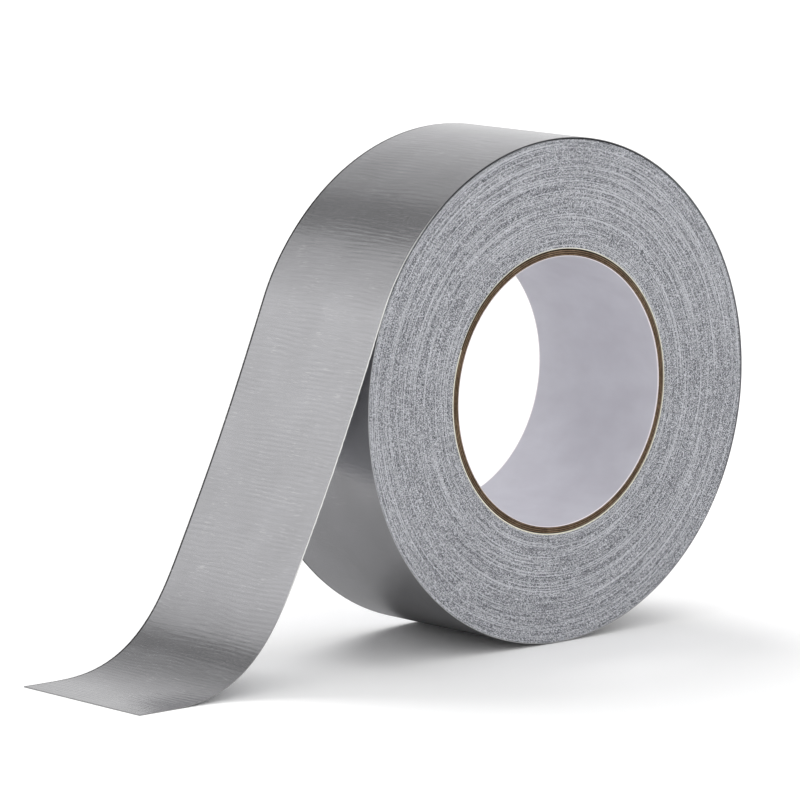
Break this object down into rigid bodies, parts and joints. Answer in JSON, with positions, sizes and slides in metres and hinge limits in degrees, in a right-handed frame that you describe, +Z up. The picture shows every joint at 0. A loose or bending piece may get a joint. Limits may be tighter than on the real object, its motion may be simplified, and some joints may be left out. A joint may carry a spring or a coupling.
{
  "type": "duct tape roll",
  "caption": "Roll of silver cloth-backed tape wound on a paper core, with a free end that peels off and bends along its length.",
  "frame": {"origin": "middle of the core's bore, halfway across the tape's width", "axes": "+Y along the roll's axis, away from the side that is seen in front; +Z up; the tape leaves the roll on the -X side and its free end runs down and out along -X"},
  "size_m": [0.2231, 0.05, 0.143],
  "materials": {
    "film": "satin silver-grey polyethylene film with fine crosswise ripples",
    "cloth": "open-weave white cotton and polyester gauze",
    "adhesive": "tacky, slightly glossy pale grey rubber adhesive",
    "tape_edge": "slit edges of the wound turns, matte grey with fine concentric lines",
    "kraft": "brown kraft paper, cut edge",
    "liner": "smooth pale paper"
  },
  "bodies": {
    "roll": {"core_liner": "liner", "core_inner_ply": "kraft", "core_middle_ply": "kraft", "core_outer_ply": "kraft", "wound_tape": "tape_edge", "outer_turn_adhesive": "adhesive", "outer_turn_cloth": "cloth", "outer_turn_film": "film"},
    "upper_span": {"upper_span_adhesive": "adhesive", "upper_span_cloth": "cloth", "upper_span_film": "film"},
    "lower_span": {"lower_span_adhesive": "adhesive", "lower_span_cloth": "cloth", "lower_span_film": "film"},
    "foot": {"foot_adhesive": "adhesive", "foot_cloth": "cloth", "foot_film": "film"},
    "tip": {"tip_adhesive": "adhesive", "tip_cloth": "cloth", "tip_film": "film"}
  },
  "joints": [
    {"name": "peel_line", "type": "hinge", "parent": "roll", "child": "upper_span", "pos_m": [-0.06916, 0, 0.01966], "axis": [0, 1, 0], "range_deg": [0, 75]},
    {"name": "span_bend", "type": "hinge", "parent": "upper_span", "child": "lower_span", "pos_m": [-0.08186, 0, -0.00884], "axis": [0, 1, 0], "range_deg": [0, 40]},
    {"name": "foot_bend", "type": "hinge", "parent": "lower_span", "child": "foot", "pos_m": [-0.09554, 0, -0.03688], "axis": [0, 1, 0], "range_deg": [0, 45]},
    {"name": "tip_bend", "type": "hinge", "parent": "foot", "child": "tip", "pos_m": [-0.1188, 0, -0.06654], "axis": [0, 1, 0], "range_deg": [0, 50]}
  ]
}
